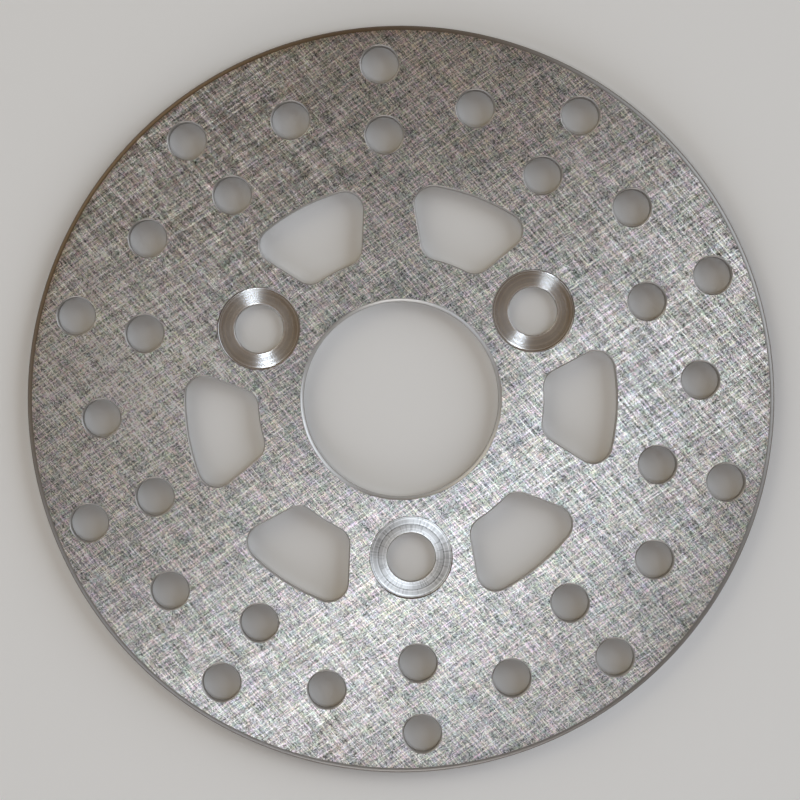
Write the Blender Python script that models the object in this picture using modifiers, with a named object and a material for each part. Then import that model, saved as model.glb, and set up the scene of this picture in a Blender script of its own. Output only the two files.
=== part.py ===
"""Brake disc rotor for a small scooter: one drilled, slotted plate of steel.

Units are metres. The disc lies flat. The origin is the centre of the bore on the
hub side, +Z runs along the wheel's axle and out of the outer face, which holds the
three recessed bolt seats. The YZ plane is the plate's mirror plane, and +X passes
through one of the single drilled holes.
"""

from math import atan2, cos, hypot, pi, radians, sin, sqrt

import bmesh
import bpy

# Plate
DISC_R = 0.0900
THICKNESS = 0.0040
RIM_CHAMFER = 0.0008
BORE_R = 0.0235
BORE_CHAMFER = 0.0007

# Drilled holes in the swept ring: pairs and singles take turns around it
STATIONS = 10
DRILL_R = 0.0045
DRILL_CHAMFER = 0.0004
RING_R = 0.07225
PAIR_OFFSET = 0.0085

# Bolt holes, each with a flat seat sunk into the outer face
BOLT_COUNT = 3
BOLT_CIRCLE_R = 0.03825
BOLT_FIRST_ANGLE = 30.0
BOLT_HOLE_R = 0.00585
SEAT_R = 0.0099
SEAT_DEPTH = 0.0020

# Windows between the hub and the ring, one on either side of each bolt hole
WINDOW_ANGLE = 36.0
WINDOW_INNER_R = 0.0345
WINDOW_OUTER_R = 0.0520
WINDOW_APEX = 0.0220
WINDOW_HALF_ANGLE = 30.0
WINDOW_FILLET = 0.0045

# Facets of the round shapes
RIM_SIDES = 180
BORE_SIDES = 72
SEAT_SIDES = 48
DRILL_SIDES = 24
ARC_STEP = 14.0

# How far a cutter stands out past each face
OVERRUN = 0.0020

STEEL_COLOUR = (0.46, 0.44, 0.42, 1.0)
STEEL_ROUGHNESS = 0.32


def clear_scene():
    """Remove every object that is in the file already."""
    for item in list(bpy.data.objects):
        bpy.data.objects.remove(item, do_unlink=True)


def new_collection(name):
    """Add a collection to the scene."""
    collection = bpy.data.collections.new(name)
    bpy.context.scene.collection.children.link(collection)
    return collection


def steel():
    """Ground stainless brake disc steel."""
    material = bpy.data.materials.new("ground_steel")
    material.use_nodes = True
    shader = material.node_tree.nodes["Principled BSDF"]
    shader.inputs["Base Color"].default_value = STEEL_COLOUR
    shader.inputs["Metallic"].default_value = 1.0
    shader.inputs["Roughness"].default_value = STEEL_ROUGHNESS
    return material


def polar(radius, angle):
    """Return the point at a radius and an angle in degrees."""
    return (radius * cos(radians(angle)), radius * sin(radians(angle)))


def turned_mesh(name, profile, sides):
    """Spin a profile of (radius, height) points, listed from the top down, about Z."""
    wire = bpy.data.meshes.new(name + "_profile")
    edges = [(i, i + 1) for i in range(len(profile) - 1)]
    wire.from_pydata([(radius, 0.0, height) for radius, height in profile], edges, [])
    guide = bpy.data.objects.new(name + "_profile", wire)
    bpy.context.scene.collection.objects.link(guide)
    screw = guide.modifiers.new("turn", "SCREW")
    screw.steps = sides
    screw.render_steps = sides
    screw.use_merge_vertices = True
    screw.merge_threshold = 0.00001
    bpy.context.view_layer.update()
    depsgraph = bpy.context.evaluated_depsgraph_get()
    mesh = bpy.data.meshes.new_from_object(guide.evaluated_get(depsgraph))
    mesh.name = name
    bpy.data.objects.remove(guide, do_unlink=True)
    return mesh


def arc(centre, radius, start, end):
    """Return points along an arc, from one angle to the other, both in degrees."""
    count = max(2, round(abs(end - start) / ARC_STEP))
    points = []
    for i in range(count + 1):
        x, y = polar(radius, start + (end - start) * i / count)
        points.append((centre[0] + x, centre[1] + y))
    return points


def fillet_centre(reach):
    """Centre of a corner arc that lies at a distance from the disc's axis.

    The side of the window is a line through (WINDOW_APEX, 0), and the centre is one
    fillet radius inside it.
    """
    slope = radians(WINDOW_HALF_ANGLE)
    foot_x = WINDOW_APEX + WINDOW_FILLET * sin(slope)
    foot_y = -WINDOW_FILLET * cos(slope)
    along = foot_x * cos(slope) + foot_y * sin(slope)
    step = -along + sqrt(along ** 2 - hypot(foot_x, foot_y) ** 2 + reach ** 2)
    return (foot_x + step * cos(slope), foot_y + step * sin(slope))


def window_outline():
    """Return the closed outline of a window whose own axis is +X."""
    outer = fillet_centre(WINDOW_OUTER_R - WINDOW_FILLET)
    inner = fillet_centre(WINDOW_INNER_R + WINDOW_FILLET)
    outer_angle = atan2(outer[1], outer[0]) * 180.0 / pi
    inner_angle = atan2(inner[1], inner[0]) * 180.0 / pi
    side_angle = 90.0 + WINDOW_HALF_ANGLE
    half = arc((0.0, 0.0), WINDOW_OUTER_R, 0.0, outer_angle)
    half += arc(outer, WINDOW_FILLET, outer_angle, side_angle)[1:]
    half += arc(inner, WINDOW_FILLET, side_angle, 180.0 + inner_angle)
    half += arc((0.0, 0.0), WINDOW_INNER_R, inner_angle, 0.0)[1:]
    return half + [(x, -y) for x, y in reversed(half[1:-1])]


def window_mesh():
    """Make the solid that cuts a window, from a filled 2D curve."""
    outline = window_outline()
    curve = bpy.data.curves.new("window", "CURVE")
    curve.dimensions = "2D"
    curve.fill_mode = "BOTH"
    curve.extrude = THICKNESS / 2 + OVERRUN
    spline = curve.splines.new("POLY")
    spline.points.add(len(outline) - 1)
    for point, (x, y) in zip(spline.points, outline):
        point.co = (x, y, 0.0, 1.0)
    spline.use_cyclic_u = True
    guide = bpy.data.objects.new("window_outline", curve)
    bpy.context.scene.collection.objects.link(guide)
    bpy.context.view_layer.update()
    depsgraph = bpy.context.evaluated_depsgraph_get()
    mesh = bpy.data.meshes.new_from_object(guide.evaluated_get(depsgraph))
    mesh.name = "window"
    bpy.data.objects.remove(guide, do_unlink=True)
    body = bmesh.new()
    body.from_mesh(mesh)
    bmesh.ops.remove_doubles(body, verts=body.verts, dist=0.000001)
    bmesh.ops.recalc_face_normals(body, faces=body.faces)
    body.to_mesh(mesh)
    body.free()
    return mesh


def hole_profile(radius, chamfer):
    """Profile of a through hole whose edges are broken at both faces."""
    wide = radius + chamfer + OVERRUN
    return [
        (0.0, THICKNESS + OVERRUN),
        (wide, THICKNESS + OVERRUN),
        (radius, THICKNESS - chamfer),
        (radius, chamfer),
        (wide, -OVERRUN),
        (0.0, -OVERRUN),
    ]


def seat_profile():
    """Profile of a bolt hole with its sunken seat at the outer face."""
    floor = THICKNESS - SEAT_DEPTH
    return [
        (0.0, THICKNESS + OVERRUN),
        (SEAT_R, THICKNESS + OVERRUN),
        (SEAT_R, floor),
        (BOLT_HOLE_R, floor),
        (BOLT_HOLE_R, -OVERRUN),
        (0.0, -OVERRUN),
    ]


def add_cutter(name, mesh, collection, location=(0.0, 0.0, 0.0), turn=0.0):
    """Place a cutter. Cutters that share a shape share its mesh."""
    cutter = bpy.data.objects.new(name, mesh)
    cutter.location = location
    cutter.rotation_euler = (0.0, 0.0, radians(turn))
    cutter.display_type = "WIRE"
    cutter.hide_render = True
    collection.objects.link(cutter)
    return cutter


def add_hole(name, mesh, collection, radius, angle):
    """Place a hole's cutter at a radius and an angle on the disc."""
    x, y = polar(radius, angle)
    return add_cutter(name, mesh, collection, (x, y, 0.0), angle)


def add_cutters(collection):
    """Place the cutters of every opening in the plate."""
    bore = turned_mesh("bore", hole_profile(BORE_R, BORE_CHAMFER), BORE_SIDES)
    add_cutter("cut_bore", bore, collection)

    drill = turned_mesh("drill", hole_profile(DRILL_R, DRILL_CHAMFER), DRILL_SIDES)
    pitch = 360.0 / STATIONS
    for i in range(STATIONS):
        single = pitch * i
        pair = single + pitch / 2
        add_hole(f"cut_single_{i}", drill, collection, RING_R, single)
        add_hole(f"cut_outer_{i}", drill, collection, RING_R + PAIR_OFFSET, pair)
        add_hole(f"cut_inner_{i}", drill, collection, RING_R - PAIR_OFFSET, pair)

    seat = turned_mesh("seat", seat_profile(), SEAT_SIDES)
    window = window_mesh()
    for i in range(BOLT_COUNT):
        angle = BOLT_FIRST_ANGLE + 360.0 / BOLT_COUNT * i
        add_hole(f"cut_bolt_{i}", seat, collection, BOLT_CIRCLE_R, angle)
        for side in (-1, 1):
            name = f"cut_window_{i}_{side + 1}"
            turn = angle + side * WINDOW_ANGLE
            add_cutter(name, window, collection, (0.0, 0.0, THICKNESS / 2), turn)


def add_disc(collection, cutters):
    """Make the plate, chamfer its rim and cut its openings."""
    mesh = bpy.data.meshes.new("brake_disc")
    body = bmesh.new()
    bmesh.ops.create_cone(
        body,
        cap_ends=True,
        segments=RIM_SIDES,
        radius1=DISC_R,
        radius2=DISC_R,
        depth=THICKNESS,
    )
    bmesh.ops.translate(body, verts=body.verts, vec=(0.0, 0.0, THICKNESS / 2))
    body.to_mesh(mesh)
    body.free()
    disc = bpy.data.objects.new("brake_disc", mesh)
    collection.objects.link(disc)
    disc.data.materials.append(steel())

    rim = disc.modifiers.new("rim_chamfer", "BEVEL")
    rim.width = RIM_CHAMFER
    rim.segments = 1
    rim.limit_method = "ANGLE"
    rim.angle_limit = radians(45.0)

    openings = disc.modifiers.new("openings", "BOOLEAN")
    openings.operation = "DIFFERENCE"
    openings.operand_type = "COLLECTION"
    openings.collection = cutters
    openings.solver = "EXACT"
    return disc


def main():
    """Build the rotor."""
    clear_scene()
    parts = new_collection("brake_disc_rotor")
    cutters = new_collection("cutters")
    add_cutters(cutters)
    disc = add_disc(parts, cutters)
    disc.data.shade_smooth()
    disc.data.set_sharp_from_angle(angle=radians(30.0))


main()
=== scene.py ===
"""Looks of the brake disc rotor: a finely modelled plate, its ground and turned
steel finishes, a pale floor, soft studio light and a camera straight above it.

Lengths are metres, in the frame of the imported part: the disc lies flat on the floor
with its bore's centre at the origin and its outer face up.
"""

from math import atan2, cos, degrees, hypot, pi, radians, sin, sqrt

import bmesh
import bpy
from mathutils import Euler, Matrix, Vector, noise


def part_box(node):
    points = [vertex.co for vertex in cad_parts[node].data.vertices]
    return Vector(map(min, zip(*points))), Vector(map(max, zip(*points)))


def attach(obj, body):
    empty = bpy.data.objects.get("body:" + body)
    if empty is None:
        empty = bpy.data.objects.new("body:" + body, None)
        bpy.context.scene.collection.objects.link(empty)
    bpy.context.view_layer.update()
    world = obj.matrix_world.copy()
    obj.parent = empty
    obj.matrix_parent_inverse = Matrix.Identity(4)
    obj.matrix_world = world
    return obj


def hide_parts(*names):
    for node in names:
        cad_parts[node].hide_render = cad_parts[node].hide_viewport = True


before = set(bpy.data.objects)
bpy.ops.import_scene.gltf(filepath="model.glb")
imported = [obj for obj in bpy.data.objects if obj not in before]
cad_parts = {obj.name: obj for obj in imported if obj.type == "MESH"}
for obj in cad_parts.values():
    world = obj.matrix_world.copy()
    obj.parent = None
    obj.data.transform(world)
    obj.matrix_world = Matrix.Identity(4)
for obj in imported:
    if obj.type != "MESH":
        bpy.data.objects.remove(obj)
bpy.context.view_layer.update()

NODE = "brake_disc"

# Plate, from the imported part
DISC_LOW, DISC_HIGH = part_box(NODE)
DISC_R = (DISC_HIGH.x - DISC_LOW.x) / 2
TOP = DISC_HIGH.z
MM = 0.001

# Openings, at the sizes of the part
BORE_R = 23.5 * MM
STATIONS = 10
DRILL_R = 4.5 * MM
RING_R = 72.25 * MM
PAIR_OFFSET = 8.5 * MM
BOLT_COUNT = 3
BOLT_CIRCLE_R = 38.25 * MM
BOLT_FIRST_ANGLE = 30.0
BOLT_HOLE_R = 5.85 * MM
SEAT_R = 9.9 * MM
SEAT_DEPTH = 2.0 * MM
WINDOW_ANGLE = 36.0
WINDOW_INNER_R = 34.5 * MM
WINDOW_OUTER_R = 52.0 * MM
WINDOW_APEX = 22.0 * MM
WINDOW_HALF_ANGLE = 30.0
WINDOW_FILLET = 4.5 * MM

# Edges: how wide each one is broken
RIM_ROUND = (1.15 * MM, 1.05 * MM)  # across the face, down the wall
BORE_BREAK = 0.66 * MM
DRILL_BREAK = 0.28 * MM
WINDOW_BREAK = 0.22 * MM
SEAT_BREAK = 0.08 * MM
BOLT_BREAK = 0.15 * MM

# The foot of a seat's wall: how high it is cut back, and how far in the flat starts
SEAT_CORNER = 0.06 * MM
SEAT_FLAT_INSET = 0.10 * MM
# Where the broken edge of the bolt hole starts below the flat
MOUTH_DROP = 0.02 * MM

# The one deeper line that the tool left on a seat
TOOL_LINE_SEAT = 2
TOOL_LINE_R = 7.95 * MM
TOOL_LINE_WIDTH = 0.20 * MM
TOOL_LINE_DEPTH = 0.02 * MM
# Rows this close to the ends of a seat's flat keep its shading flat
FLAT_GUARD = 0.06 * MM

# Facets
RIM_SIDES = 480
BORE_SIDES = 192
SEAT_SIDES = 96
DRILL_SIDES = 48
# The rolled edge of the rim: its rows, and how many from the face have the rim's finish
ROLL_STEPS = 8
RIM_BANDS = 5
# Points along half a window: outer arc, outer corner, straight side, inner corner and
# inner arc
WINDOW_POINTS = (12, 18, 14, 12, 6)
# Hand-finished edges waver by this much, over this distance
EDGE_STEP = 0.45 * MM
BORE_WAVER = 0.030 * MM
DRILL_WAVER = 0.035 * MM
WINDOW_WAVER = 0.030 * MM

# Material slots of the plate's mesh
GROUND, EDGE, BEVEL, RIM, SHADED_WALL, TURNED, DRILLED, CUT = range(8)


# ---------------------------------------------------------------- outlines

def polar(radius, angle):
    """Point at a radius and an angle in degrees."""
    return (radius * cos(radians(angle)), radius * sin(radians(angle)))


def circle(centre, radius, sides, turn=0.0):
    """Return an outline function: grow is how far the circle is widened."""
    def outline(grow):
        points = []
        for i in range(sides):
            x, y = polar(radius + grow, turn + 360.0 * i / sides)
            points.append((centre[0] + x, centre[1] + y))
        return points
    return outline


def arc(centre, radius, start, end, count):
    """Points along an arc between two angles in degrees."""
    points = []
    for i in range(count + 1):
        x, y = polar(radius, start + (end - start) * i / count)
        points.append((centre[0] + x, centre[1] + y))
    return points


def fillet_centre(reach, fillet, apex):
    """Centre of a corner arc at a distance from the disc's axis, one fillet inside
    the window's straight side, which starts at (apex, 0)."""
    slope = radians(WINDOW_HALF_ANGLE)
    foot_x = apex + fillet * sin(slope)
    foot_y = -fillet * cos(slope)
    along = foot_x * cos(slope) + foot_y * sin(slope)
    step = -along + sqrt(along ** 2 - hypot(foot_x, foot_y) ** 2 + reach ** 2)
    return (foot_x + step * cos(slope), foot_y + step * sin(slope))


def window(angle):
    """Return the outline function of the window at an angle on the disc."""
    def outline(grow):
        fillet = WINDOW_FILLET + grow
        apex = WINDOW_APEX - grow / sin(radians(WINDOW_HALF_ANGLE))
        inner_r = WINDOW_INNER_R - grow
        outer_r = WINDOW_OUTER_R + grow
        outer = fillet_centre(outer_r - fillet, fillet, apex)
        inner = fillet_centre(inner_r + fillet, fillet, apex)
        outer_angle = degrees(atan2(outer[1], outer[0]))
        inner_angle = degrees(atan2(inner[1], inner[0]))
        side = 90.0 + WINDOW_HALF_ANGLE
        half = arc((0.0, 0.0), outer_r, 0.0, outer_angle, WINDOW_POINTS[0])
        half += arc(outer, fillet, outer_angle, side, WINDOW_POINTS[1])[1:]
        end = arc(inner, fillet, side, side, 1)[0]
        half += straight(half[-1], end, WINDOW_POINTS[2])[1:]
        half += arc(inner, fillet, side, 180.0 + inner_angle, WINDOW_POINTS[3])[1:]
        half += arc((0.0, 0.0), inner_r, inner_angle, 0.0, WINDOW_POINTS[4])[1:]
        whole = half + [(x, -y) for x, y in reversed(half[1:-1])]
        c, s = polar(1.0, angle)
        return [(c * x - s * y, s * x + c * y) for x, y in whole]
    return outline


def straight(start, end, count):
    """Points along a straight line."""
    points = []
    for i in range(count + 1):
        t = i / count
        x = start[0] + (end[0] - start[0]) * t
        y = start[1] + (end[1] - start[1]) * t
        points.append((x, y))
    return points


# ---------------------------------------------------------------- edge profiles

def soft_chamfer(width):
    """A 45 degree edge break with softened corners: (grow, drop) from face to wall."""
    soft = 0.25 * width
    slant = soft / sqrt(2)
    return [
        (width + soft, 0.0),
        (width + 0.15 * soft, 0.12 * soft),
        (width - slant, slant),
        (slant, width - slant),
        (0.12 * soft, width + 0.15 * soft),
        (0.0, width + soft),
    ]


def quarter_round(width, depth):
    """An edge that rolls over from face to wall: (grow, drop)."""
    rows = []
    for i in range(ROLL_STEPS + 1):
        angle = pi / 2 * i / ROLL_STEPS
        rows.append((width * (1.0 - sin(angle)), depth * (1.0 - cos(angle))))
    return rows


def down(edge, height):
    """Rows of an edge at the outer face."""
    return [(grow, height - drop) for grow, drop in edge]


def up(edge):
    """Rows of an edge at the hub-side face, listed from the wall to the face."""
    return [(grow, drop) for grow, drop in reversed(edge)]


# ---------------------------------------------------------------- the plate

class Plate:
    """Collects the walls of the plate, then closes its two faces."""

    def __init__(self):
        self.body = bmesh.new()
        self.axis = self.body.verts.layers.float_vector.new("turn_axis")
        self.top_edges = []
        self.bottom_edges = []

    def loop(self, outline, grow, height, axis, waver):
        """Add one closed row of points. The row wavers where the edge is cut back."""
        row = []
        for x, y in outline(grow):
            if waver and grow > 0.0:
                spot = Vector((x, y, height)) / EDGE_STEP
                shake = waver * noise.noise(spot)
                flat = Vector((x - axis[0], y - axis[1]))
                flat *= 1.0 + shake / max(flat.length, MM)
                x, y = axis[0] + flat.x, axis[1] + flat.y
            vert = self.body.verts.new((x, y, height))
            vert[self.axis] = (axis[0], axis[1], 0.0)
            row.append(vert)
        return row

    def wall(self, outline, rows, slots, axis=(0.0, 0.0), waver=0.0):
        """Skin the rows of an opening, or of the rim, from the outer face down."""
        loops = [self.loop(outline, grow, height, axis, waver) for grow, height in rows]
        for upper, lower, slot in zip(loops, loops[1:], slots):
            for i in range(len(upper)):
                j = (i + 1) % len(upper)
                face = self.body.faces.new((upper[i], upper[j], lower[j], lower[i]))
                face.material_index = slot
                face.smooth = True
        self.top_edges += rim_edges(self.body, loops[0])
        self.bottom_edges += rim_edges(self.body, loops[-1])

    def close(self):
        """Fill the two faces around the openings and make the mesh's object."""
        for edges, normal in ((self.top_edges, 1.0), (self.bottom_edges, -1.0)):
            bmesh.ops.triangle_fill(
                self.body, use_beauty=True, edges=edges, normal=(0.0, 0.0, normal)
            )
            for edge in edges:
                edge.smooth = False
        bmesh.ops.recalc_face_normals(self.body, faces=self.body.faces)
        mesh = bpy.data.meshes.new("disc_plate")
        self.body.to_mesh(mesh)
        self.body.free()
        plate = bpy.data.objects.new("disc_plate", mesh)
        bpy.context.scene.collection.objects.link(plate)
        return plate


def rim_edges(body, row):
    """Edges between neighbouring points of a closed row."""
    after = row[1:] + row[:1]
    return [body.edges.get(pair) for pair in zip(row, after)]


def through_slots(edge, edge_slot, wall_slot):
    """Slots of an edge, a wall and the same edge again."""
    edge_slots = [edge_slot] * (len(edge) - 1)
    return edge_slots + [wall_slot] + edge_slots


def add_rim(plate):
    """The outer rim, rolled over at both faces. Its rows move inwards as they grow."""
    outline = circle((0.0, 0.0), DISC_R, RIM_SIDES)
    edge = quarter_round(*RIM_ROUND)
    rows = [(-grow, height) for grow, height in down(edge, TOP) + up(edge)]
    # Rows past the rim's finish are near-black painted shade
    upper = [RIM] * RIM_BANDS + [SHADED_WALL] * (ROLL_STEPS - RIM_BANDS)
    plate.wall(outline, rows, upper + [SHADED_WALL] + upper[::-1])


def add_hole(plate, centre, radius, sides, width, edge_slot, waver):
    """A round hole with its edges broken at both faces."""
    edge = soft_chamfer(width)
    rows = down(edge, TOP) + up(edge)
    slots = through_slots(edge, edge_slot, DRILLED)
    plate.wall(circle(centre, radius, sides), rows, slots, centre, waver)


def add_window(plate, angle):
    """A window between hub and ring, with a narrow broken edge."""
    edge = soft_chamfer(WINDOW_BREAK)
    rows = down(edge, TOP) + up(edge)
    slots = through_slots(edge, EDGE, CUT)
    middle = polar((WINDOW_INNER_R + WINDOW_OUTER_R) / 2, angle)
    plate.wall(window(angle), rows, slots, middle, WINDOW_WAVER)


def bolt_angle(index):
    """Where a bolt hole lies round the disc, in degrees."""
    return BOLT_FIRST_ANGLE + 360.0 / BOLT_COUNT * index


def seat_floor(index):
    """Rows across the flat of a seat. One seat has a shallow tool line turned into it."""
    floor = TOP - SEAT_DEPTH
    line = TOOL_LINE_R - BOLT_HOLE_R
    depth = TOOL_LINE_DEPTH if index == TOOL_LINE_SEAT else 0.0
    outer = SEAT_R - BOLT_HOLE_R - SEAT_FLAT_INSET
    inner = 1.25 * BOLT_BREAK
    return [
        (outer, floor),
        (outer - FLAT_GUARD, floor),
        (line + TOOL_LINE_WIDTH / 2, floor),
        (line, floor - depth),
        (line - TOOL_LINE_WIDTH / 2, floor),
        (inner + FLAT_GUARD, floor),
        (inner, floor),
    ]


def add_seat(plate, index):
    """A bolt hole in its sunken, turned seat."""
    angle = bolt_angle(index)
    centre = polar(BOLT_CIRCLE_R, angle)
    reach = SEAT_R - BOLT_HOLE_R
    floor = TOP - SEAT_DEPTH
    lip = [(grow + reach, height) for grow, height in down(soft_chamfer(SEAT_BREAK), TOP)]
    foot = [
        (reach, floor + SEAT_CORNER),
        (reach - 0.3 * SEAT_CORNER, floor + 0.3 * SEAT_CORNER),
    ]
    flat = seat_floor(index)
    mouth = [(BOLT_BREAK, floor - MOUTH_DROP), (0.0, floor - BOLT_BREAK)]
    under = up(soft_chamfer(BOLT_BREAK))
    rows = lip + foot + flat + mouth + under
    # The seat's lip and wall are near-black painted shade
    slots = [SHADED_WALL] * (len(lip) + 1)
    slots += [TURNED] * (len(flat) + 1)
    slots += [EDGE, DRILLED]
    slots += [EDGE] * (len(under) - 1)
    outline = circle(centre, BOLT_HOLE_R, SEAT_SIDES, angle)
    plate.wall(outline, rows, slots, centre)


def make_plate():
    """Model the whole plate as one closed mesh."""
    plate = Plate()
    add_rim(plate)
    add_hole(plate, (0.0, 0.0), BORE_R, BORE_SIDES, BORE_BREAK, BEVEL, BORE_WAVER)
    pitch = 360.0 / STATIONS
    for i in range(STATIONS):
        single = pitch * i
        pair = single + pitch / 2
        spots = [
            (RING_R, single),
            (RING_R + PAIR_OFFSET, pair),
            (RING_R - PAIR_OFFSET, pair),
        ]
        for spot in spots:
            centre = polar(*spot)
            add_hole(plate, centre, DRILL_R, DRILL_SIDES, DRILL_BREAK, EDGE, DRILL_WAVER)
    for i in range(BOLT_COUNT):
        add_seat(plate, i)
        for side in (-1, 1):
            add_window(plate, bolt_angle(i) + side * WINDOW_ANGLE)
    return plate.close()


# ---------------------------------------------------------------- shader helpers

class Shade:
    """Writes a material's node tree in short calls."""

    def __init__(self, name, **values):
        self.material = bpy.data.materials.new(name)
        self.material.use_nodes = True
        self.tree = self.material.node_tree
        self.shader = self.tree.nodes["Principled BSDF"]
        for key, value in values.items():
            self.shader.inputs[key.replace("_", " ")].default_value = value

    def node(self, kind, *inputs, **settings):
        """Add a node. Inputs are sockets or values, in the order of its sockets."""
        made = self.tree.nodes.new("ShaderNode" + kind)
        for key, value in settings.items():
            setattr(made, key, value)
        for socket, value in zip(made.inputs, inputs):
            self.feed(socket, value)
        return made

    def feed(self, socket, value):
        """Link or set a socket."""
        if isinstance(value, bpy.types.NodeSocket):
            self.tree.links.new(value, socket)
        elif value is not None:
            socket.default_value = value

    def math(self, operation, *inputs):
        """Result of an operation on numbers."""
        return self.node("Math", *inputs, operation=operation).outputs[0]

    def vector(self, operation, *inputs):
        """Node of an operation on vectors."""
        made = self.node("VectorMath", operation=operation)
        sockets = [socket for socket in made.inputs if socket.type == "VECTOR"]
        for socket, value in zip(sockets, inputs):
            self.feed(socket, value)
        return made

    def scaled(self, vector, factor):
        """A vector or colour times a number."""
        made = self.node("VectorMath", operation="SCALE")
        self.feed(made.inputs["Vector"], vector)
        self.feed(made.inputs["Scale"], factor)
        return made.outputs[0]

    def noise(self, place, detail):
        """Noise texture at one unit per feature."""
        made = self.node("TexNoise")
        self.feed(made.inputs["Vector"], place)
        made.inputs["Scale"].default_value = 1.0
        made.inputs["Detail"].default_value = detail
        return made

    def white(self, place):
        """A separate random draw for each cell of whole-number coordinates."""
        return self.node("TexWhiteNoise", place, noise_dimensions="3D")

    def cells(self, place, size):
        """A separate random draw for each cube of a size."""
        return self.white(self.vector("FLOOR", self.scaled(place, 1.0 / size)).outputs[0])

    def split(self, vector):
        """The three parts of a vector."""
        return list(self.node("SeparateXYZ", vector).outputs)

    def place(self):
        """Position of the shaded point."""
        return self.node("NewGeometry").outputs["Position"]

    def normal(self):
        """Normal at the shaded point."""
        return self.node("NewGeometry").outputs["Normal"]

    def stretched(self, place, angle, length, pitch):
        """Coordinates turned to an angle and divided by a grain's length and pitch."""
        made = self.node("Mapping", vector_type="TEXTURE")
        self.feed(made.inputs["Vector"], place)
        made.inputs["Rotation"].default_value = (0.0, 0.0, radians(angle))
        made.inputs["Scale"].default_value = (length, pitch, 1.0)
        return made.outputs[0]

    def rare(self, value, gain):
        """Turn even numbers from 0 to 1 into mostly dim ones and a few bright ones, about
        zero. Their cubes have a mean of a quarter."""
        cube = self.math("POWER", value, 3.0)
        return self.math("MULTIPLY_ADD", cube, gain, -0.25 * gain)

    def centred(self, socket, gain):
        """A noise value about zero, times a gain."""
        return self.math("MULTIPLY", self.math("SUBTRACT", socket, 0.5), gain)

    def mixed(self, kind, factor, first, second):
        """A mix of two vectors or colours."""
        made = self.node("Mix", data_type=kind)
        self.feed(made.inputs["Factor"], factor)
        sockets = [socket for socket in made.inputs if socket.type == kind]
        first_socket, second_socket = [socket for socket in sockets if socket.name != "Factor"]
        self.feed(first_socket, first)
        self.feed(second_socket, second)
        return next(socket for socket in made.outputs if socket.type == kind)

    def tinted(self, colour, hues, gain):
        """A colour whose channels waver with those of a noise about its middle."""
        waver = self.vector("MULTIPLY_ADD", hues, (gain,) * 3, (1.0 - gain / 2,) * 3)
        return self.vector("MULTIPLY", colour, waver.outputs[0]).outputs[0]

    def between(self, name, factor, pair):
        """Feed a shader input that goes from one value to another with a factor."""
        mix = self.math("MULTIPLY_ADD", factor, pair[1] - pair[0], pair[0])
        self.feed(self.shader.inputs[name], mix)

    def tilt(self, slope):
        """Tilt the surface normal by a slope vector and feed it to the shader."""
        whole = self.vector("ADD", self.normal(), slope).outputs[0]
        unit = self.vector("NORMALIZE", whole).outputs[0]
        self.feed(self.shader.inputs["Normal"], unit)

    def shaded_flank(self):
        """Painted brown shade here: none on one side of the disc, full on one flank."""
        side = self.vector("DOT_PRODUCT", self.place(), SHADED_FLANK_SIDE).outputs["Value"]
        return self.node("MapRange", side, *SHADED_FLANK_REACH, 0.0, 1.0).outputs[0]

    def axis(self):
        """Axis of the opening that this surface belongs to."""
        return self.node("Attribute", attribute_name="turn_axis").outputs["Vector"]

    def from_axis(self):
        """Vector from the axis of the opening that this surface belongs to."""
        level = self.vector("MULTIPLY", self.place(), (1.0, 1.0, 0.0)).outputs[0]
        return self.vector("SUBTRACT", level, self.axis()).outputs[0]


# ---------------------------------------------------------------- steel finishes

# Directions of the two sets of grinding lines, in degrees from +X
GRAIN_A = 31.0
GRAIN_B = 127.0
# Scratches of each set: length, width and how much they change the brightness
SHORT_SCRATCH = (3.0 * MM, 0.21 * MM, 0.62)
LONG_SCRATCH = (13.0 * MM, 0.24 * MM, 0.34)
# How far the scratches tilt the surface
SCRATCH_TILT = 0.04
# Each row of scratches is shifted along by up to this many lengths
ROW_SHIFT = 9.0
# Specks between them: size, and how much they change the brightness
SPECK_SIZE = 0.27 * MM
SPECK_SHADE = 0.95
# Hues waver from scratch to scratch, over blotches and over wide clouds
SCRATCH_HUE = 0.13
BLOTCH_HUE = 0.22
BLOTCH_SIZE = 1.6 * MM
CLOUD_SIZE = 38.0 * MM
CLOUD_WARM = (0.59, 0.55, 0.51, 1.0)
CLOUD_COOL = (0.53, 0.54, 0.55, 1.0)
# Each is for the first set of scratches and for the second
FACE_ROUGHNESS = (0.40, 0.34)
FACE_ANISOTROPY = (0.92, 0.80)
# The grit ploughs to one side, so all scratches lean a little the same way
FACE_LEAN = (-0.034, -0.042, 0.0)
# Grinding wears the face away a little before the rim: from this radius, up to this slope
ROLL_OFF = (87.2 * MM, 0.08)
# Share of that slope on the flank without the painted shade
ROLL_ELSEWHERE = 0.35
# Painted brown shade towards the rim, from this radius
RIM_SHADE_FROM = 87.5 * MM
RIM_SHADE_TINT = (0.92, 0.84, 0.74)
# The painted shade covers one flank, which the light leaves dark: the direction of its middle,
# and how far out along it the painted shade starts and is full
SHADED_FLANK_SIDE = (-0.57, 0.82, 0.0)
SHADED_FLANK_REACH = (30.0 * MM, 75.0 * MM)
# Painted glint: one flank of the ring is paler; the hub round the bore is darker
GLINT_SPOT = (-65.0 * MM, 14.0 * MM, TOP)
GLINT_REACH = 42.0 * MM
GLINT_GAIN = 0.42
HUB_GAIN = -0.16
# Which set leads is drawn grain by grain, swayed by how strong the scratches are
GRAIN_SIZE = 0.01 * MM
GRAIN_REACH = 1.7
LEAD_OF_B = 0.40
# What tells the rows of one set from those of the other, and short from long scratches
SEED_A = 3.0
SEED_B = 5.0
SEED_STEP = 0.25

# Seats
SEAT_COLOUR = (0.82, 0.83, 0.85)
# A little of the seats' light is scattered evenly, by torn metal in the grooves
SEAT_METAL = 0.74
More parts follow.
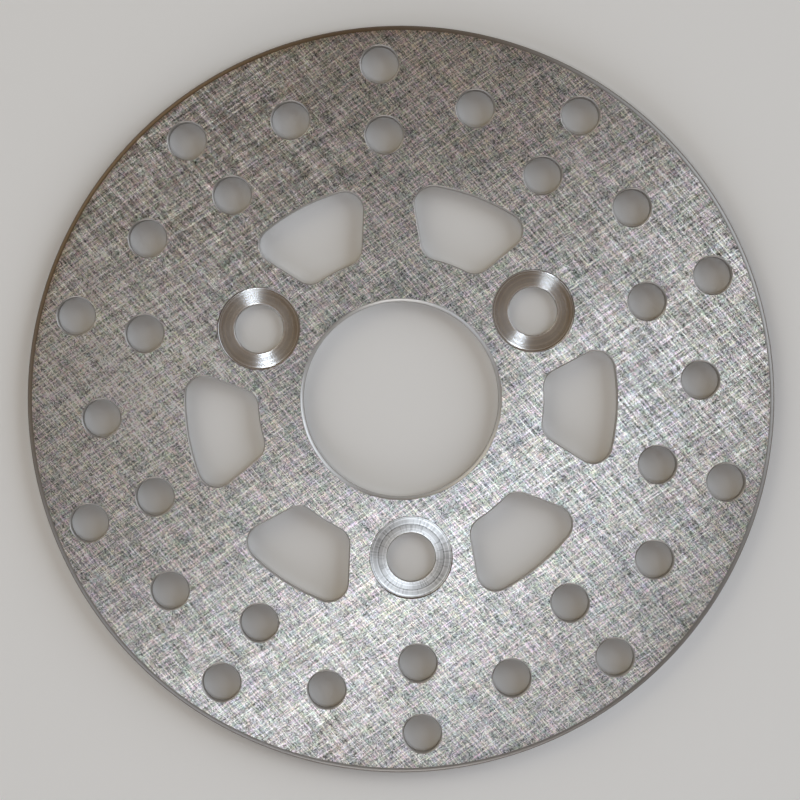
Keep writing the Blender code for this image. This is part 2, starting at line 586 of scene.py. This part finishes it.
# Each is for the two smooth seats and for the one where the tool chattered
SEAT_ANISOTROPY = (0.97, 0.945)
SEAT_ROUGHNESS = (0.188, 0.31)
# The chattered seat, nearest the key's glint, is darker by this much: painted shade
SEAT_PAINTED_SHADE = 0.11
# Rings: pitch, tilt of the surface and how much they change the brightness
RING_PITCH = 0.27 * MM
RING_TILT = 0.03
RING_SHADE = 0.55
# Chatter marks: width of a band, marks per radian, change of brightness on the
# chattered seat, and the share of it that the smooth seats show
CHATTER_BAND = 1.3 * MM
CHATTER_COUNT = 26.0
CHATTER_SHADE = 0.30
CHATTER_ELSEWHERE = 0.3
# The deeper line of the tool: half its width in the finish, and how dark its painted shade is
GROOVE_REACH = 0.12 * MM
GROOVE_PAINTED_SHADE = -0.35

# Plainer finishes: name, colour, roughness, pitch of the tool lines and their tilt
EDGE_FINISH = ("steel_edge", (0.40, 0.38, 0.36, 1.0), 0.48, 0.10 * MM, 0.35)
BEVEL_FINISH = ("steel_bevel", (0.54, 0.53, 0.52, 1.0), 0.42, 0.10 * MM, 0.30)
RIM_FINISH = ("steel_rim", (0.32, 0.305, 0.29, 1.0), 0.50, 0.14 * MM, 0.30)
# Painted shade: the rim's darker brown on the flank that the light leaves dark
RIM_SHADED = (0.17, 0.125, 0.085, 1.0)
# Painted shade: near-black walls where the rim rolls away and round each seat
SHADED_WALL_FINISH = ("steel_wall_painted_shade", (0.14, 0.11, 0.09, 1.0), 0.65, 0.14 * MM, 0.30)
BORED_FINISH = ("steel_bored", (0.36, 0.34, 0.32, 1.0), 0.42, 0.16 * MM, 0.35)
# How far the roughness of those finishes wavers
BORED_WAVER = 0.2

# Window walls
CUT_COLOUR = (0.46, 0.44, 0.42, 1.0)
CUT_ROUGHNESS = (0.30, 0.55)
# Ribs that the beam leaves: width, height and tilt
RIB_WIDTH = 0.28 * MM
RIB_HEIGHT = 5.0 * MM
RIB_TILT = 0.9


def scratches(shade, place, angle, seed):
    """One set of parallel scratches, laid like bricks of random shift: the direction
    across them, their brightness and hue, how strong each one is and the slope on it."""
    across = (-sin(radians(angle)), cos(radians(angle)), 0.0)
    bright = None
    for length, width, gain in (SHORT_SCRATCH, LONG_SCRATCH):
        along, row = shade.split(shade.stretched(place, angle, length, width))[:2]
        row = shade.math("FLOOR", row)
        start = shade.node("CombineXYZ", row, seed, 0.5).outputs[0]
        shift = shade.white(start).outputs["Value"]
        cell = shade.math("FLOOR", shade.math("MULTIPLY_ADD", shift, ROW_SHIFT, along))
        draw = shade.white(shade.node("CombineXYZ", row, cell, seed).outputs[0])
        part = shade.rare(draw.outputs["Value"], gain)
        if bright is None:
            bright = part
            hue = draw.outputs["Color"]
        else:
            bright = shade.math("ADD", bright, part)
        seed += SEED_STEP
    slope, strength = shade.split(draw.outputs["Color"])[:2]
    slope = shade.scaled(across, shade.centred(slope, 2.0 * SCRATCH_TILT))
    return across, bright, hue, strength, slope


def ground_steel():
    """Both faces: two crossing sets of scratches, the stronger one showing at each point.

    Light spreads across the scratches and not along them, so each set glints on its own
    side of the disc.
    """
    shade = Shade("steel_ground", Metallic=1.0)
    place = shade.place()
    across_a, bright_a, hue_a, strength_a, slope_a = scratches(shade, place, GRAIN_A, SEED_A)
    across_b, bright_b, hue_b, strength_b, slope_b = scratches(shade, place, GRAIN_B, SEED_B)
    grain = shade.cells(place, GRAIN_SIZE)
    lead = shade.math("SUBTRACT", strength_b, strength_a)
    lead = shade.math("ADD", lead, shade.centred(grain.outputs["Value"], GRAIN_REACH))
    lead = shade.math("GREATER_THAN", lead, -LEAD_OF_B)
    tangent = shade.mixed("VECTOR", lead, across_a, across_b)
    shade.feed(shade.shader.inputs["Tangent"], tangent)
    shade.between("Roughness", lead, FACE_ROUGHNESS)
    shade.between("Anisotropic", lead, FACE_ANISOTROPY)
    slope = shade.mixed("VECTOR", lead, slope_a, slope_b)
    slope = shade.vector("ADD", slope, FACE_LEAN).outputs[0]
    level = shade.vector("MULTIPLY", place, (1.0, 1.0, 0.0)).outputs[0]
    radius = shade.vector("LENGTH", level).outputs["Value"]
    ramp = shade.node("MapRange", radius, ROLL_OFF[0], DISC_R, 0.0, ROLL_OFF[1])
    worn = shade.math("MULTIPLY_ADD", shade.shaded_flank(), 1.0 - ROLL_ELSEWHERE, ROLL_ELSEWHERE)
    ramp = shade.math("MULTIPLY", ramp.outputs[0], worn)
    roll = shade.scaled(shade.vector("NORMALIZE", level).outputs[0], ramp)
    shade.tilt(shade.vector("ADD", slope, roll).outputs[0])

    clouds = shade.noise(shade.scaled(place, 1.0 / CLOUD_SIZE), 3.0).outputs["Fac"]
    base = shade.mixed("RGBA", clouds, CLOUD_WARM, CLOUD_COOL)
    blotches = shade.noise(shade.scaled(place, 1.0 / BLOTCH_SIZE), 1.0)
    specks = shade.cells(place, SPECK_SIZE)
    base = shade.tinted(base, hue_a, SCRATCH_HUE)
    base = shade.tinted(base, hue_b, SCRATCH_HUE)
    base = shade.tinted(base, blotches.outputs["Color"], BLOTCH_HUE)
    # Painted shade: the face darkens to brown towards the rim on one flank
    rim_shade = shade.node("MapRange", radius, RIM_SHADE_FROM, DISC_R, 0.0, 1.0).outputs[0]
    rim_shade = shade.math("MULTIPLY", rim_shade, shade.shaded_flank())
    shaded_base = shade.vector("MULTIPLY", base, RIM_SHADE_TINT).outputs[0]
    base = shade.mixed("VECTOR", rim_shade, base, shaded_base)
    # Painted highlight on one flank, and the hub darker round the bore
    away = shade.vector("DISTANCE", place, GLINT_SPOT).outputs["Value"]
    painted_glint = shade.node("MapRange", away, 0.0, GLINT_REACH, GLINT_GAIN, 0.0)
    hub = shade.node("MapRange", radius, BORE_R, WINDOW_INNER_R, HUB_GAIN, 0.0)
    for fade in (painted_glint, hub):
        fade.interpolation_type = "SMOOTHSTEP"
    glint_and_hub = shade.math("ADD", painted_glint.outputs[0], hub.outputs[0])
    light = shade.math("ADD", bright_a, bright_b)
    light = shade.math("ADD", light, shade.centred(specks.outputs["Value"], SPECK_SHADE))
    light = shade.math("ADD", light, 1.0)
    light = shade.math("MULTIPLY", light, shade.math("ADD", glint_and_hub, 1.0))
    shade.feed(shade.shader.inputs["Base Color"], shade.scaled(base, light))
    return shade.material


def turned_steel():
    """The seats: fine rings round the bolt hole, crossed by the marks of a chattering tool.

    Light spreads across the rings, so each seat shows a bright wedge on two sides.
    """
    shade = Shade("steel_turned", Metallic=SEAT_METAL)
    axis = shade.axis()
    chattered = shade.math("LESS_THAN", shade.split(axis)[1], -0.5 * BOLT_CIRCLE_R)
    away = shade.from_axis()
    radius = shade.vector("LENGTH", away).outputs["Value"]
    outward = shade.vector("NORMALIZE", away).outputs[0]
    shade.feed(shade.shader.inputs["Tangent"], outward)
    east, north = shade.split(outward)[:2]

    ring = shade.math("FLOOR", shade.math("DIVIDE", radius, RING_PITCH))
    draw = shade.white(shade.node("CombineXYZ", ring, 2.0, 7.0).outputs[0])
    slope = shade.split(draw.outputs["Color"])[0]
    shade.tilt(shade.scaled(outward, shade.centred(slope, RING_TILT)))
    shade.between("Roughness", chattered, SEAT_ROUGHNESS)
    shade.between("Anisotropic", chattered, SEAT_ANISOTROPY)

    band = shade.math("FLOOR", shade.math("DIVIDE", radius, CHATTER_BAND))
    turn = shade.math("MULTIPLY_ADD", shade.math("ARCTAN2", north, east), CHATTER_COUNT, band)
    mark = shade.node("CombineXYZ", shade.math("FLOOR", turn), band, 1.0).outputs[0]
    chatter = shade.rare(shade.white(mark).outputs["Value"], -CHATTER_SHADE)
    share = shade.math(
        "MULTIPLY_ADD", chattered, 1.0 - CHATTER_ELSEWHERE, CHATTER_ELSEWHERE
    )
    chatter = shade.math("MULTIPLY", chatter, share)
    # Painted shade along the tool's deeper line
    groove = shade.math("COMPARE", radius, TOOL_LINE_R, GROOVE_REACH)
    groove = shade.math("MULTIPLY", groove, chattered)
    light = shade.math("ADD", shade.rare(draw.outputs["Value"], RING_SHADE), chatter)
    light = shade.math("MULTIPLY_ADD", groove, GROOVE_PAINTED_SHADE, light)
    # Painted shade: the chattered seat made darker
    light = shade.math("MULTIPLY_ADD", chattered, -SEAT_PAINTED_SHADE, light)
    light = shade.math("ADD", light, 1.0)
    shade.feed(shade.shader.inputs["Base Color"], shade.scaled(SEAT_COLOUR, light))
    return shade.material


def bored_steel(name, colour, roughness, pitch, gain, shaded_colour=None):
    """Turned or drilled walls and chamfers: fine lines that run round the opening."""
    shade = Shade(name, Metallic=1.0, Base_Color=colour)
    # The shaded colour is painted shade, blended in on one flank
    if shaded_colour:
        blend = shade.mixed("RGBA", shade.shaded_flank(), colour, shaded_colour)
        shade.feed(shade.shader.inputs["Base Color"], blend)
    away = shade.from_axis()
    radius = shade.vector("LENGTH", away).outputs["Value"]
    height = shade.split(shade.place())[2]
    east, north = shade.split(shade.vector("NORMALIZE", away).outputs[0])[:2]
    lines = shade.math("DIVIDE", shade.math("SUBTRACT", height, radius), pitch)
    rings = shade.node("CombineXYZ", lines, east, north)
    fine = shade.noise(rings.outputs[0], 3.0)
    shade.tilt(shade.scaled((0.0, 0.0, 1.0), shade.centred(fine.outputs["Fac"], gain)))
    smoothest = roughness - BORED_WAVER / 2
    shade.between("Roughness", fine.outputs["Fac"], (smoothest, smoothest + BORED_WAVER))
    return shade.material


def cut_steel():
    """Window walls: the upright striations that the cutting beam leaves."""
    shade = Shade("steel_cut", Metallic=1.0, Base_Color=CUT_COLOUR)
    per_rib = (1.0 / RIB_WIDTH, 1.0 / RIB_WIDTH, 1.0 / RIB_HEIGHT)
    squeeze = shade.vector("MULTIPLY", shade.place(), per_rib)
    ribs = shade.noise(squeeze.outputs[0], 3.0)
    along = shade.vector("CROSS_PRODUCT", shade.normal(), (0.0, 0.0, 1.0)).outputs[0]
    shade.tilt(shade.scaled(along, shade.centred(ribs.outputs["Fac"], RIB_TILT)))
    shade.between("Roughness", ribs.outputs["Fac"], CUT_ROUGHNESS)
    return shade.material


def finishes():
    """Materials in the order of the plate's slots."""
    return [
        ground_steel(),
        bored_steel(*EDGE_FINISH),
        bored_steel(*BEVEL_FINISH),
        bored_steel(*RIM_FINISH, RIM_SHADED),
        bored_steel(*SHADED_WALL_FINISH),
        turned_steel(),
        bored_steel(*BORED_FINISH),
        cut_steel(),
    ]


# ---------------------------------------------------------------- studio

# Height of the camera above the outer face. Only its ratio to the plate's thickness is
# known, so it goes with the assumed 4 mm.
CAMERA_DISTANCE = 0.667
# Width that the picture covers at the outer face, and how the disc lies in it
PICTURE_WIDTH = 0.1926
CAMERA_ROLL = -3.65
DISC_OFF_CENTRE = (0.00025, 0.00024)
SENSOR_WIDTH = 36.0


def add_camera():
    """Camera straight above the disc, rolled so that the pattern is turned as seen."""
    data = bpy.data.cameras.new("camera")
    data.sensor_width = SENSOR_WIDTH
    data.lens = SENSOR_WIDTH * CAMERA_DISTANCE / PICTURE_WIDTH
    camera = bpy.data.objects.new("camera", data)
    roll = Euler((0.0, 0.0, radians(CAMERA_ROLL)))
    aside = roll.to_matrix() @ Vector((-DISC_OFF_CENTRE[0], -DISC_OFF_CENTRE[1], 0.0))
    camera.location = Vector((0.0, 0.0, TOP + CAMERA_DISTANCE)) + aside
    camera.rotation_euler = roll
    bpy.context.scene.collection.objects.link(camera)
    bpy.context.scene.camera = camera


def add_light(name, place, size, power, colour):
    """A round soft light aimed at the middle of the disc."""
    data = bpy.data.lights.new(name, "AREA")
    data.shape = "DISK"
    data.size = size
    data.energy = power
    data.color = colour
    lamp = bpy.data.objects.new(name, data)
    lamp.location = place
    aim = -Vector(place)
    lamp.rotation_euler = aim.to_track_quat("-Z", "Y").to_euler()
    bpy.context.scene.collection.objects.link(lamp)


# The key light is placed by the spot on the disc where the camera sees its glint
KEY_GLINT = (-18.0 * MM, -70.0 * MM)
KEY_HEIGHT = 1.0
KEY_SIZE = 0.10
KEY_POWER = 0.69
KEY_COLOUR = (0.85, 0.93, 1.0)
# Wide side lights, which light the floor: name, place, diameter, power and colour
SIDE_LIGHTS = [
    ("side_left", (-1.60, -1.60, 1.25), 2.4, 16.0, (0.78, 0.87, 1.0)),
    ("side_right", (2.20, 0.70, 1.30), 2.8, 44.0, (0.81, 0.90, 1.0)),
    ("side_back", (-1.55, 1.55, 1.25), 2.4, 18.0, (1.0, 0.94, 0.79)),
    ("side_front", (0.0, -1.50, 0.35), 1.0, 5.0, (1.0, 1.0, 1.0)),
]
# Surroundings: light from the horizon and the ceiling, and the sine of the height at
# which the ceiling has taken over
HORIZON = (0.68, 0.69, 0.70, 1.0)
CEILING = (0.092, 0.046, 0.005, 1.0)
CEILING_FROM = 0.45
FLOOR_COLOUR = (0.90, 0.90, 0.895, 1.0)
FLOOR_ROUGHNESS = 0.9
FLOOR_HALF_WIDTH = 4.0
FLOOR_GAP = 0.05 * MM


def add_lights():
    """A small light near the camera, which the steel mirrors, and wide ones at the sides."""
    reach = (CAMERA_DISTANCE + KEY_HEIGHT) / CAMERA_DISTANCE
    place = (KEY_GLINT[0] * reach, KEY_GLINT[1] * reach, KEY_HEIGHT)
    add_light("key", place, KEY_SIZE, KEY_POWER, KEY_COLOUR)
    for side_light in SIDE_LIGHTS:
        add_light(*side_light)


def add_world():
    """Dim surroundings: a pale horizon under a darker, warm ceiling."""
    world = bpy.data.worlds.new("studio")
    world.use_nodes = True
    tree = world.node_tree
    direction = tree.nodes.new("ShaderNodeTexCoord").outputs["Generated"]
    split = tree.nodes.new("ShaderNodeSeparateXYZ")
    rise = tree.nodes.new("ShaderNodeMapRange")
    rise.interpolation_type = "SMOOTHSTEP"
    rise.inputs["From Max"].default_value = CEILING_FROM
    mix = tree.nodes.new("ShaderNodeMix")
    mix.data_type = "RGBA"
    first, second = [socket for socket in mix.inputs if socket.type == "RGBA"]
    first.default_value = HORIZON
    second.default_value = CEILING
    colour = next(socket for socket in mix.outputs if socket.type == "RGBA")
    tree.links.new(direction, split.inputs[0])
    tree.links.new(split.outputs["Z"], rise.inputs["Value"])
    tree.links.new(rise.outputs["Result"], mix.inputs["Factor"])
    tree.links.new(colour, tree.nodes["Background"].inputs["Color"])
    bpy.context.scene.world = world


def add_floor():
    """A plain pale floor under the disc."""
    mesh = bpy.data.meshes.new("floor")
    body = bmesh.new()
    bmesh.ops.create_grid(body, x_segments=1, y_segments=1, size=FLOOR_HALF_WIDTH)
    body.to_mesh(mesh)
    body.free()
    floor = bpy.data.objects.new("floor", mesh)
    floor.location.z = DISC_LOW.z - FLOOR_GAP
    shade = Shade("floor_paper", Base_Color=FLOOR_COLOUR, Roughness=FLOOR_ROUGHNESS)
    mesh.materials.append(shade.material)
    bpy.context.scene.collection.objects.link(floor)


# ---------------------------------------------------------------- build

def main():
    """Light the studio, model the disc and hand it to the frame."""
    add_camera()
    add_lights()
    add_world()
    add_floor()
    bpy.context.scene.view_settings.view_transform = "Standard"
    plate = make_plate()
    for material in finishes():
        plate.data.materials.append(material)
    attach(plate, "root")
    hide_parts(NODE)


main()
